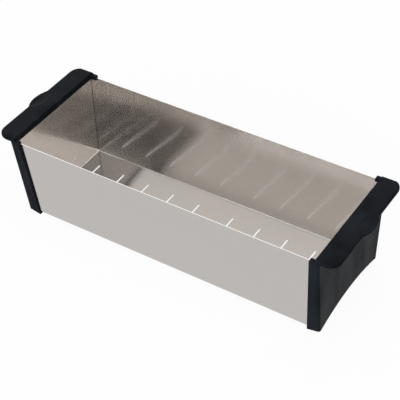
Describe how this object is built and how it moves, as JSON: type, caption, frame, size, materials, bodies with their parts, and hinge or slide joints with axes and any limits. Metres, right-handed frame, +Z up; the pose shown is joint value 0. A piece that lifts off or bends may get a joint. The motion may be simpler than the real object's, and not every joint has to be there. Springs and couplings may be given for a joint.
{
  "type": "sink strainer tray",
  "caption": "Long brushed-steel strainer tray with a slotted floor, held between two black moulded end caps whose lips rest on the edges of a sink bowl and carry finger tabs.",
  "frame": {"origin": "under the middle of the tray, on the surface that the end caps' feet stand on", "axes": "+X along the tray towards the right end cap, +Y across it towards the back, +Z up"},
  "size_m": [0.4438, 0.1514, 0.1156],
  "materials": {
    "brushed_stainless": "brushed",
    "black_plastic": "fine matt texture"
  },
  "bodies": {
    "root": {"steel_tray": "brushed_stainless", "end_cap_right": "black_plastic", "end_cap_left": "black_plastic"}
  },
  "joints": []
}
